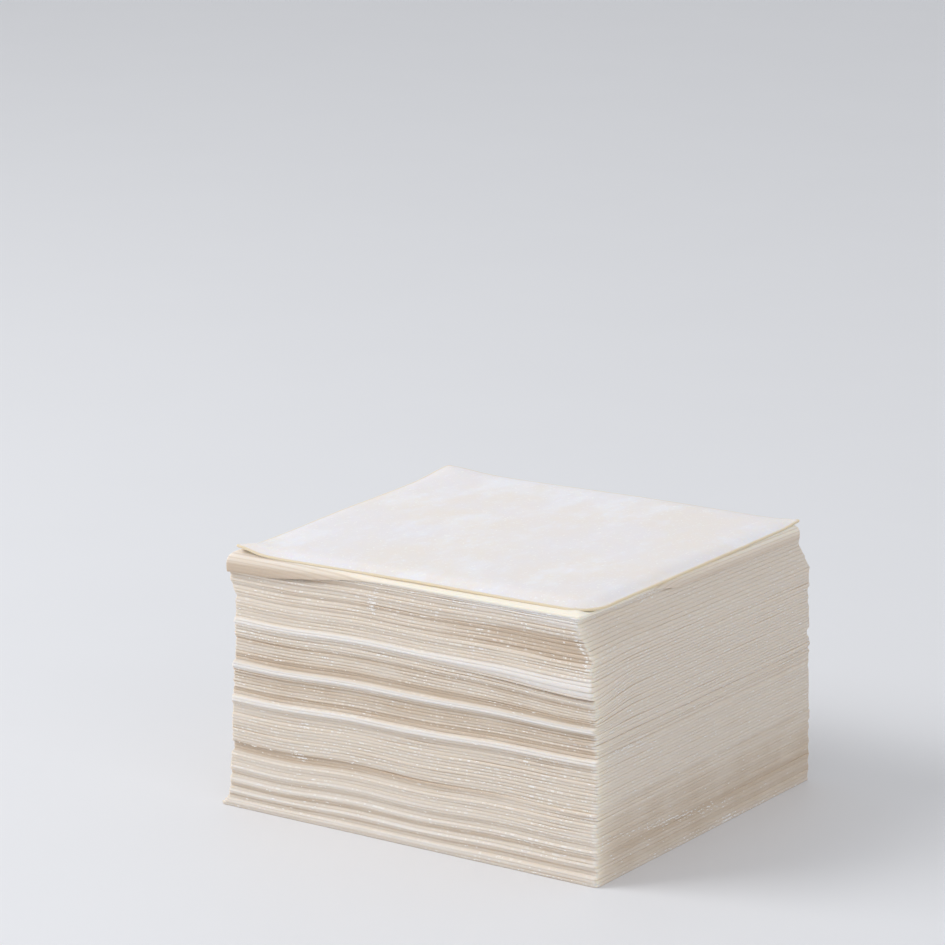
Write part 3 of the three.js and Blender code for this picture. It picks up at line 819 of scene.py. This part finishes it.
def top_sheet(stack):
    """The top sheet: its corners curl by a bell each, its front and right rims bend down, its rim
    thins to a soft edge, and its front right corner is well rounded."""
    sheet = {**stack.sheets[stack.count - 1], "flare": TOP_FLARE}
    path_u, path_v, _ = rim_path(sheet, TOP_CORNER_RADII)
    rng = np.random.default_rng(TOP_SEED)
    inset, nose, face = profile(TOP_RINGS)
    uneven = ripple(rng, len(path_u), TOP_WAVES, CUT_NOISE)
    inset = inset + EDGE_NOSE * nose - uneven * np.exp(-inset / OUT_REACH)
    u = path_u * (1 - inset / sheet["half_x"])
    v = path_v * (1 - inset / sheet["half_y"])
    x, y = stack.place(sheet, u, v)
    level = sheet["bottom"] + face * (sheet["top"] - sheet["bottom"])
    lift = sum(h * stack.nearness(sheet, u, v, cu, cv, reach) for cu, cv, h, reach in CURLS)
    front_bend, right_bend = np.interp(u, (-1, 0, 1), FRONT_BEND), np.interp(v, (-1, 1), RIGHT_BEND)
    bend = np.maximum(front_bend * smooth_step(-v, 0, 1), right_bend * smooth_step(u, 0, 1))
    lift = lift - bend * (1 - smooth_step(inset, 0, ROLL_WIDTH))
    lift = lift - TOP_TAPER * face * (1 - smooth_step(inset, 0, TAPER_WIDTH))
    z = stack.height_at(x, y, level) + lift
    return np.stack([x, y, z], -1), {"face": face, "rim": rim_share(inset)}


# ---------------------------------------------------------------- shader helpers

# A Mix node's sockets for its share and for colours, and its colour output.
MIX_SHARE, MIX_LOW, MIX_HIGH, MIX_RESULT = 0, 6, 7, 2


class Value:
    """A socket in a node tree. Arithmetic on it adds Math nodes."""

    def __init__(self, graph, socket):
        self.graph = graph
        self.socket = socket

    def math(self, operation, *others):
        return self.graph.node("ShaderNodeMath", {"operation": operation}, [self, *others])

    def __add__(self, other):
        return self.math("ADD", other)

    def __sub__(self, other):
        return self.math("SUBTRACT", other)

    def __rsub__(self, other):
        return self.graph.node("ShaderNodeMath", {"operation": "SUBTRACT"}, [other, self])

    def __mul__(self, other):
        return self.math("MULTIPLY", other)

    def __truediv__(self, other):
        return self.math("DIVIDE", other)

    def __pow__(self, other):
        return self.math("POWER", other)

    __radd__ = __add__
    __rmul__ = __mul__

    def clamped(self):
        return self.graph.node("ShaderNodeClamp", {}, [self])

    def at_least(self, least):
        """From the least value, where this one is 0, to 1, where it is 1."""
        return self * (1 - least) + least

    def step(self, low, high):
        """0 below low and 1 above high, with a smooth S between them."""
        inputs = {"Value": self, "From Min": low, "From Max": high}
        return self.graph.node("ShaderNodeMapRange", {"interpolation_type": "SMOOTHSTEP"}, inputs)


class Graph:
    """Adds nodes to one material."""

    def __init__(self, name):
        self.material = bpy.data.materials.new(name)
        self.material.use_nodes = True
        self.tree = self.material.node_tree
        self.tree.nodes.clear()

    def node(self, kind, settings, inputs, output=0):
        """A node of a kind. Settings are its properties, inputs the values or links of its sockets, by
        name or in order, and output the one that is returned."""
        made = self.tree.nodes.new(kind)
        for name, value in settings.items():
            setattr(made, name, value)
        pairs = inputs.items() if isinstance(inputs, dict) else enumerate(inputs)
        for key, value in pairs:
            if isinstance(value, Value):
                self.tree.links.new(value.socket, made.inputs[key])
            else:
                made.inputs[key].default_value = value
        return Value(self, made.outputs[output]) if len(made.outputs) else None

    def attribute(self, name):
        """A mark of the mesh's points."""
        return self.node("ShaderNodeAttribute", {"attribute_name": name}, {}, "Fac")

    def millimetres(self):
        """Object coordinates in millimetres."""
        place = self.node("ShaderNodeTexCoord", {}, {}, "Object")
        return self.stretched(place, (1 / MM, 1 / MM, 1 / MM))

    def stretched(self, place, scale):
        """A place times a scale along each axis."""
        return self.node("ShaderNodeVectorMath", {"operation": "MULTIPLY"}, [place, scale])

    def noise(self, place, scale, detail=2.0, roughness=0.5):
        """A smooth random value from 0 to 1, with scale bumps per unit of place."""
        inputs = {"Vector": place, "Scale": scale, "Detail": detail, "Roughness": roughness}
        return self.node("ShaderNodeTexNoise", {}, inputs, "Fac")

    def blend(self, low, high, share):
        """A mix of two colours. A Mix node has sockets of one name for each kind of value, so the ones
        for colours are given by number."""
        settings = {"data_type": "RGBA", "clamp_factor": True}
        inputs = {MIX_SHARE: share, MIX_LOW: low, MIX_HIGH: high}
        return self.node("ShaderNodeMix", settings, inputs, MIX_RESULT)

    def bump(self, height, depth, strength=1.0):
        """A normal from a height from 0 to 1, which is depth metres deep."""
        inputs = {"Height": height, "Distance": depth, "Strength": strength}
        return self.node("ShaderNodeBump", {}, inputs)

    def finish(self, inputs):
        """The material, from the inputs of its surface shader."""
        shader = self.node("ShaderNodeBsdfPrincipled", {}, inputs)
        self.node("ShaderNodeOutputMaterial", {}, {"Surface": shader})
        return self.material


def rgba(colour):
    """A colour with full cover."""
    return (*colour, 1.0)


def dough_material(finish):
    """Dough of the lower sheets: painted shade makes a cut edge tan where it is set back, and it is paler
    where it stands out, partly with flour and partly with painted light. Painted shade darkens the seams
    between sheets and the lower half of each edge, and a painted golden glow lies beside the front right
    corner and in the shaded crease under the top sheet's lip. Dashes of flour lie along the upper corner of
    each edge. The dashes have no height of their own, and each sheet takes them from another layer of the
    noise. Where the second sheet hangs, faint lines a sheet apart show the layers of its fold."""
    graph = Graph("cut_dough")
    place = graph.millimetres()
    names = ("face", "rim", "tone", "proud", "loose", "seam", "dust", "painted_glow")
    face, rim, tone, proud, loose, seam, dust, painted_glow = (graph.attribute(name) for name in names)
    blotch = graph.noise(place, scale=0.11, detail=3)
    film = graph.noise(graph.stretched(place, FILM_STRETCH), scale=1, detail=3, roughness=0.55)
    own = graph.node("ShaderNodeCombineXYZ", {}, {"Z": tone * DASH_SHIFT})
    along = graph.stretched(place, (1.0, 1.0, 0.0))
    along = graph.node("ShaderNodeVectorMath", {"operation": "ADD"}, [along, own])
    dash = graph.noise(along, scale=0.9, detail=2, roughness=0.6)
    cloud = graph.noise(along, scale=0.09, detail=2)
    grain = graph.noise(place, scale=4.5, detail=3)
    stand = (proud + (tone - 0.5) * SHEET_TONES + (blotch - 0.5) * BLOTCH_TONES).clamped()
    # Painted shade on a set-back edge; paler where it stands out, partly flour and partly painted light.
    edge = graph.blend(rgba(finish.tucked_shade), rgba(finish.edge), stand.step(*TUCKED_TO_LEVEL))
    edge = graph.blend(edge, rgba(finish.proud), stand.step(*LEVEL_TO_PROUD))
    # Painted glow of light through the thin dough beside the front right corner.
    edge = graph.blend(edge, rgba(finish.corner), painted_glow)
    # Painted shade in the groove at both seams, more where the sheets are loose or gape, and on the lower,
    # downward-facing half of each edge.
    off_middle = (face * 2 - 1) ** 2
    below = 1 - face.step(*LOWER_HALF)
    groove_shade = off_middle.step(*GROOVE_EDGE)
    groove_shade = groove_shade * (GROOVE_LEAST + loose * GROOVE_LOOSE + seam * loose.at_least(GROOVE_SEAM))
    groove_shade = groove_shade * below.at_least(GROOVE_ABOVE)
    lower_half_shade = below * (LOWER_HALF_SHADE + loose * LOWER_HALF_SHADE_LOOSE)
    edge = graph.blend(edge, rgba(finish.groove_shade), (groove_shade + lower_half_shade).clamped())
    upper = face.step(*UPPER_START) * (1 - face.step(*UPPER_END))
    dashes = dash.step(*DASH_NOISE) * upper * cloud.step(*DASH_CLOUDS).at_least(DASH_LEAST)
    dashes = dashes * (loose * DASH_LOOSE + stand.step(*DASH_PROUD_FROM) * DASH_PROUD).clamped()
    powder = dashes * loose.at_least(DASH_CLUNG) + film.step(*FILM_NOISE) * FILM_SHARE
    powder = (powder + dust * film.step(*DUST_NOISE)).clamped()
    edge = graph.blend(edge, rgba(finish.flour), powder)
    # The lip colour as painted golden glow in the shaded crease under the top sheet's lip.
    colour = graph.blend(rgba(finish.face), rgba(finish.lip), seam.step(*CREASE_SEAM) * CREASE_GLOW_SHARE)
    colour = graph.blend(colour, edge, rim)
    layers = graph.attribute("ply")
    layered = (layers * (2 * math.pi)).math("COSINE").step(*LAYER_LINE) * layers.step(*LAYER_FROM)
    colour = graph.blend(colour, rgba(finish.tucked_shade), layered * (LAYER_LEAST + film * LAYER_FILM))
    relief = grain * GRAIN_HEIGHT + film * FILM_HEIGHT + dashes * DASH_HEIGHT - layered
    return graph.finish({
        "Base Color": colour,
        "Roughness": 0.7 - powder * 0.2,
        "Normal": graph.bump(relief, 0.04 * MM, 0.7),
        "Subsurface Weight": 0.6,
        "Subsurface Radius": (1.0, 0.85, 0.65),
        "Subsurface Scale": 0.5 * MM,
        "IOR": 1.4,
        "Specular IOR Level": 0.35,
    })


def floured_material(finish):
    """The top sheet: pale dough under a patchy dusting of flour, drawn out along the way it was rolled, with
    a warm cut edge, partly its own colour and partly painted glow of light through the thin dough; the same
    colour is painted as warm shade on its underside."""
    graph = Graph("floured_top")
    place = graph.millimetres()
    face = graph.attribute("face")
    rim = graph.attribute("rim")
    rolled = graph.stretched(place, TOP_STRETCH)
    patch = graph.noise(rolled, scale=0.08, detail=5, roughness=0.6)
    cloud = graph.noise(rolled, scale=0.25, detail=5, roughness=0.65)
    fleck = graph.noise(rolled, scale=0.8, detail=3, roughness=0.6)
    grain = graph.noise(place, scale=5.0, detail=3)
    warm = graph.noise(place, scale=0.05, detail=2)
    base = graph.blend(rgba(finish.top_warm), rgba(finish.top_cool), warm.step(*TOP_WARMTH))
    dusting = patch.step(*DUST_PATCHES) * PATCH_SHARE + cloud.step(*DUST_CLOUDS) * CLOUD_SHARE
    dusting = dusting * (FLECK_LEAST + fleck * FLECK_VARIES)
    dusting = (dusting + fleck.step(*FLECK_NOISE) * FLECK_SHARE).clamped()
    base = graph.blend(base, rgba(finish.flour_dust), dusting)
    speck = graph.noise(place, scale=1.5, detail=1).step(*SPECK_NOISE) * (SPECK_LEAST + patch)
    base = graph.blend(base, rgba(finish.flour), speck.clamped())
    # The lip colour on the cut edge and the underside: partly the dough's own colour, partly painted glow and
    # warm shade.
    colour = graph.blend(rgba(finish.lip), base, face * (1 - rim))
    relief = grain * TOP_GRAIN_HEIGHT + cloud * TOP_CLOUD_HEIGHT
    return graph.finish({
        "Base Color": colour,
        "Roughness": 0.68 + dusting * 0.2,
        "Normal": graph.bump(relief, 0.08 * MM, 0.7),
        "Subsurface Weight": 0.35,
        "Subsurface Radius": (1.0, 0.78, 0.45),
        "Subsurface Scale": 1.2 * MM,
        "IOR": 1.4,
        "Specular IOR Level": 0.3,
    })


def flour_material(finish):
    """Loose flour: near white, with a fine uneven tone."""
    graph = Graph("loose_flour")
    tone = graph.noise(graph.millimetres(), scale=1.3, detail=2)
    colour = graph.blend(rgba(finish.flour), rgba(finish.proud), tone.step(0.4, 0.7))
    return graph.finish({"Base Color": colour, "Roughness": 0.6 + tone * 0.2, "Specular IOR Level": 0.5})


# ---------------------------------------------------------------- loose flour

def flake_shell(centres, along, sizes):
    """Flakes as flat octahedra: six points each, at plus and minus a size along three axes. The first
    follows the sheet's edge and the last, the thin one, points outward and up. Returns one shell of
    triangles for all flakes."""
    up = np.array([0.0, 0.0, 1.0])
    out = np.cross(along, up)
    across = (up - out) / math.sqrt(2)
    thin = (up + out) / math.sqrt(2)
    axes = np.stack([along, across, thin], 1) * sizes[:, :, None]
    points = centres[:, None, :] + np.concatenate([axes, -axes], 1)
    pattern = np.array([
        (0, 1, 2), (1, 3, 2), (3, 4, 2), (4, 0, 2), (1, 0, 5), (3, 1, 5), (4, 3, 5), (0, 4, 5),
    ])
    corners = (np.arange(len(centres))[:, None, None] * 6 + pattern).reshape(-1)
    return points.reshape(-1, 3), corners, np.full(len(corners) // 3, 3), {}


def side_noses(stack, side):
    """The points of the nose rings of all plain sheets along one side, as [sheet, ring, place], and how
    readily flour lies on each sheet's upper corner: where the seam above it gapes, the sheets are loose
    and the edge stands out."""
    first = side * (PER_SIDE + PER_CORNER)
    run = slice(first, first + PER_SIDE + 1)
    rings = slice(len(PLAIN_RINGS), len(PLAIN_RINGS) + NOSE_RINGS)
    noses, gapes = [], []
    for k in range(stack.count - 2):
        grid, marks = plain_sheet(stack, k)
        shown = SET_BACK_SHARE + PROUD_ADDS * smooth_step(marks["proud"], *PROUD_RANGE)
        gape = marks["seam"] * marks["loose"] * shown
        noses.append(grid[rings, run])
        gapes.append(gape[-1, run])
    return np.stack(noses), np.stack(gapes)


def flour_on_edges(stack, side, rng, count):
    """Flakes on one side's cut edges, each lying along its edge near the sheet's upper corner: most
    where the seam above gapes, and the clumps and smears of CLUMPS. A flake's place is blended from
    the four nearest points of the sheet's nose rings."""
    noses, gapes = side_noses(stack, side)
    sheet = rng.integers(0, len(noses), count)
    along = rng.uniform(0, PER_SIDE - 0.001, count)
    kept = rng.random(count) < FLAKE_CHANCE + GAPE_CHANCE * gapes[sheet, along.astype(int)]
    sheet, along = sheet[kept], along[kept]
    side_length = stack.wide if side == 0 else stack.deep
    for where, middle, height, spread, thick, slope, flakes in CLUMPS:
        if where == side:
            offset = rng.normal(0, spread, flakes)
            target = height + slope * offset + rng.normal(0, thick, flakes)
            near = np.clip((middle + offset) / side_length, 0, 0.999) * PER_SIDE
            heights = noses[:, NOSE_RINGS - 2, near.astype(int), 2]
            sheet = np.concatenate([sheet, np.abs(heights - target).argmin(0)])
            along = np.concatenate([along, near])
    count = len(sheet)
    ring = rng.uniform(*FLAKE_RINGS, count)
    i, j = ring.astype(int), along.astype(int)
    a, b = (ring - i)[:, None], (along - j)[:, None]
    low = noses[sheet, i, j] * (1 - b) + noses[sheet, i, j + 1] * b
    high = noses[sheet, i + 1, j] * (1 - b) + noses[sheet, i + 1, j + 1] * b
    centres = low * (1 - a) + high * a
    direction = noses[sheet, i, j + 1] - noses[sheet, i, j]
    direction = direction / np.linalg.norm(direction, axis=1)[:, None]
    length = FLAKE_LENGTH + FLAKE_LONGER * rng.random(count) ** LONG_ONES
    width = rng.uniform(*FLAKE_WIDTH, count)
    return flake_shell(centres, direction, np.stack([length, width, FLAKE_THICKNESS * width], -1))


# ---------------------------------------------------------------- settings

class StackSizes(bpy.types.PropertyGroup):
    """Sizes of the stack that a user would change."""

    count: IntProperty(name="Wrappers", description="Number of sheets in the stack", default=82, min=20)
    wrapper_x: FloatProperty(
        name="Wrapper width", description="Size of the lowest sheet along X", default=90 * MM, unit="LENGTH")
    wrapper_y: FloatProperty(
        name="Wrapper depth", description="Size of the lowest sheet along Y", default=82 * MM, unit="LENGTH")
    height: FloatProperty(
        name="Height", description="Height of the stack at its left edge", default=55 * MM, unit="LENGTH")
    right_rise: FloatProperty(
        name="Rise", description="How much higher the right edge is", default=2 * MM, unit="LENGTH")
    wave_height: FloatProperty(
        name="Waves", description="Depth of the waves along the front", default=0.34 * MM, unit="LENGTH")
    corner_sag: FloatProperty(
        name="Corner sag", description="Sag at the front right corner", default=1.9 * MM, unit="LENGTH")
    grains: IntProperty(name="Flour grains", description="Loose grains on each side", default=3600)


def colour_property(name, description, default):
    """A colour that the panel shows."""
    return FloatVectorProperty(
        name=name, description=description, default=default, size=3, subtype="COLOR", min=0, max=1)


class DoughFinish(bpy.types.PropertyGroup):
    """Colours of the dough and the flour."""

    # Tucked, edge and proud: painted shade on a set-back cut edge, and paler where it stands out, partly
    # flour and partly painted light.
    tucked_shade: colour_property("Tucked edge", "Cut edge that is set back", (0.61, 0.50, 0.395))
    edge: colour_property("Cut edge", "Cut edge in line with the stack", (0.765, 0.682, 0.595))
    proud: colour_property("Proud edge", "Cut edge that stands out", (0.828, 0.784, 0.748))
    # Painted shade in the seams between sheets and on the lower half of each edge.
    groove_shade: colour_property("Groove", "Dough between two sheets", (0.58, 0.455, 0.335))
    face: colour_property("Face", "Flat face of a sheet", (0.945, 0.868, 0.755))
    top_warm: colour_property("Top, warm", "Warm patches of the top sheet", (0.85, 0.79, 0.75))
    top_cool: colour_property("Top, cool", "Cooler patches of the top sheet", (0.835, 0.80, 0.81))
    # Painted glow of light through the thin dough beside the front right corner.
    corner: colour_property("Corner", "Cut edge beside the front right corner", (0.93, 0.83, 0.69))
    # Partly the cut edge's own colour and partly painted glow through the thin dough; also painted as warm
    # shade on the top sheet's underside and in the crease under it.
    lip: colour_property("Lip", "Cut edge of the top sheet", (0.765, 0.645, 0.475))
    flour: colour_property("Flour", "Loose flour", (0.94, 0.92, 0.895))
    flour_dust: colour_property("Flour dust", "Dusting on the top sheet", (0.88, 0.885, 0.93))


class StageLook(bpy.types.PropertyGroup):
    """The camera, the lights and the floor."""

    azimuth: FloatProperty(
        name="Azimuth", description="Side the camera stands on", default=math.radians(34.32), subtype="ANGLE")
    elevation: FloatProperty(
        name="Elevation", description="Height of the view", default=math.radians(14.38), subtype="ANGLE")
    distance: FloatProperty(
        name="Distance", description="Camera to aim point", default=0.8809, unit="LENGTH")
    lens: FloatProperty(name="Lens", description="Focal length in mm", default=171.4)
    aim: FloatVectorProperty(
        name="Aim", description="Point in the middle of the picture", size=3,
        default=(14.41 * MM, -37.85 * MM, 78.9 * MM), subtype="TRANSLATION", unit="LENGTH")
    floor: colour_property("Floor", "Plain pale floor", (0.81, 0.82, 0.85))
    key: FloatProperty(name="Key light", description="Power of the main light in W", default=8.0)
    fill: FloatProperty(name="Fill light", description="Power of the fill light in W", default=1.5)
    sky: FloatProperty(name="Surroundings", description="Strength of the white surroundings", default=0.62)


# ---------------------------------------------------------------- operators

def number(k):
    """The number in the name of sheet k, from 01."""
    return f"{k + 1:02d}"


class WRAPPERS_OT_pressed_sheets(bpy.types.Operator):
    """Makes the sheets below the rolled ones: singly at the base and the top, and in clinging pairs"""

    bl_idname = "wrappers.pressed_sheets"
    bl_label = "Pressed sheets"

    def execute(self, context):
        stack = Stack(context.scene.stack_sizes)
        material = dough_material(context.scene.dough_finish)
        k = 0
        while k < stack.count - 2:
            paired = FIRST_PAIRED <= k + 1 < LAST_PAIRED
            last = k + 1 if paired else k
            name = f"wrappers_{number(k)}_{number(last)}" if paired else f"wrapper_{number(k)}"
            shells = [closed_shell(*plain_sheet(stack, i)) for i in range(k, last + 1)]
            make_piece(f"dough_{name}", shells, material, [name])
            k = last + 1
        return {"FINISHED"}


class WRAPPERS_OT_second_sheet(bpy.types.Operator):
    """Makes the sheet under the top one, whose rim hangs over the sheets below it"""

    bl_idname = "wrappers.second_sheet"
    bl_label = "Second sheet"

    def execute(self, context):
        stack = Stack(context.scene.stack_sizes)
        name = f"wrapper_{number(stack.count - 2)}"
        shell = closed_shell(*second_sheet(stack))
        make_piece(f"dough_{name}", [shell], bpy.data.materials["cut_dough"], [name])
        return {"FINISHED"}


class WRAPPERS_OT_top_sheet(bpy.types.Operator):
    """Makes the floured top sheet with its curled corners"""

    bl_idname = "wrappers.top_sheet"
    bl_label = "Top sheet"

    def execute(self, context):
        stack = Stack(context.scene.stack_sizes)
        name = f"wrapper_{number(stack.count - 1)}"
        material = floured_material(context.scene.dough_finish)
        shell = closed_shell(*top_sheet(stack))
        make_piece(f"dough_{name}", [shell], material, [name])
        return {"FINISHED"}


class WRAPPERS_OT_flour(bpy.types.Operator):
    """Scatters loose flour on the cut edges"""

    bl_idname = "wrappers.flour"
    bl_label = "Loose flour"

    def execute(self, context):
        sizes = context.scene.stack_sizes
        stack = Stack(sizes)
        material = flour_material(context.scene.dough_finish)
        for side, name in enumerate(("front", "right", "back", "left")):
            shell = flour_on_edges(stack, side, np.random.default_rng(FLOUR_SEED + side), sizes.grains)
            make_piece(f"flour_{name}", [shell], material, smooth=False)
        return {"FINISHED"}


class WRAPPERS_OT_stage(bpy.types.Operator):
    """Sets the floor, the soft lights and the camera"""

    bl_idname = "wrappers.stage"
    bl_label = "Stage"

    def execute(self, context):
        look = context.scene.stage_look
        self.add_floor(look)
        self.add_camera(context.scene, look)
        self.add_light("key", KEY_PLACE, KEY_SIZE, look.key)
        self.add_light("fill", FILL_PLACE, FILL_SIZE, look.fill)
        world = bpy.data.worlds.new("surroundings")
        world.use_nodes = True
        background = world.node_tree.nodes["Background"]
        background.inputs["Color"].default_value = SKY_COLOUR
        background.inputs["Strength"].default_value = look.sky
        context.scene.world = world
        context.scene.view_settings.view_transform = "Standard"
        return {"FINISHED"}

    def add_floor(self, look):
        """A flat disc under the stack: one ring of points round its middle."""
        angle = np.linspace(0, 2 * np.pi, FLOOR_POINTS, endpoint=False)
        rim = np.stack([FLOOR_RADIUS * np.cos(angle), FLOOR_RADIUS * np.sin(angle), 0 * angle], -1)
        mesh = bpy.data.meshes.new("floor")
        mesh.from_pydata(rim.tolist(), [], [list(range(len(angle)))])
        graph = Graph("floor_surface")
        tint = graph.noise(graph.millimetres(), scale=0.02, detail=2)
        colour = graph.blend(rgba(look.floor), rgba([FLOOR_TINT * c for c in look.floor]), tint)
        mesh.materials.append(graph.finish({"Base Color": colour, "Roughness": 0.55}))
        floor = bpy.data.objects.new("floor", mesh)
        bpy.context.scene.collection.objects.link(floor)

    def add_camera(self, scene, look):
        """The camera looks at the aim point from the azimuth, the elevation and the distance."""
        back = Vector((
            math.sin(look.azimuth) * math.cos(look.elevation),
            -math.cos(look.azimuth) * math.cos(look.elevation),
            math.sin(look.elevation),
        ))
        data = bpy.data.cameras.new("camera")
        data.lens = look.lens
        data.sensor_width = SENSOR_WIDTH
        data.clip_end = FAR_CLIP
        camera = bpy.data.objects.new("camera", data)
        camera.location = Vector(look.aim) + look.distance * back
        camera.rotation_euler = back.to_track_quat("Z", "Y").to_euler()
        scene.collection.objects.link(camera)
        scene.camera = camera

    def add_light(self, name, place, size, power):
        """A square lamp at a place, facing the middle of the stack."""
        data = bpy.data.lights.new(name, "AREA")
        data.size = size
        data.energy = power
        lamp = bpy.data.objects.new(name, data)
        lamp.location = place
        lamp.rotation_euler = (Vector(place) - Vector(LIGHT_AIM)).to_track_quat("Z", "Y").to_euler()
        bpy.context.scene.collection.objects.link(lamp)


class WRAPPERS_PT_panel(bpy.types.Panel):
    """Lists the steps and the sizes"""

    bl_idname = "WRAPPERS_PT_panel"
    bl_label = "Wonton wrappers"
    bl_space_type = "VIEW_3D"
    bl_region_type = "UI"
    bl_category = "Wrappers"

    def draw(self, context):
        for settings in (context.scene.stack_sizes, context.scene.dough_finish, context.scene.stage_look):
            box = self.layout.box()
            for name in settings.bl_rna.properties.keys():
                if name not in ("rna_type", "name"):
                    box.prop(settings, name)
        for operator in OPERATORS:
            self.layout.operator(operator.bl_idname)


OPERATORS = (
    WRAPPERS_OT_pressed_sheets,
    WRAPPERS_OT_second_sheet,
    WRAPPERS_OT_top_sheet,
    WRAPPERS_OT_flour,
    WRAPPERS_OT_stage,
)
CLASSES = (StackSizes, DoughFinish, StageLook, *OPERATORS, WRAPPERS_PT_panel)


def register():
    """Adds the settings, the steps and the panel."""
    for cls in CLASSES:
        bpy.utils.register_class(cls)
    bpy.types.Scene.stack_sizes = PointerProperty(type=StackSizes)
    bpy.types.Scene.dough_finish = PointerProperty(type=DoughFinish)
    bpy.types.Scene.stage_look = PointerProperty(type=StageLook)


def unregister():
    """Takes them away again."""
    del bpy.types.Scene.stage_look
    del bpy.types.Scene.dough_finish
    del bpy.types.Scene.stack_sizes
    for cls in reversed(CLASSES):
        bpy.utils.unregister_class(cls)


def main():
    """Builds all: the sheets, the loose flour and the stage."""
    register()
    bpy.ops.wrappers.pressed_sheets()
    bpy.ops.wrappers.second_sheet()
    bpy.ops.wrappers.top_sheet()
    bpy.ops.wrappers.flour()
    bpy.ops.wrappers.stage()


if __name__ == "__main__":
    main()
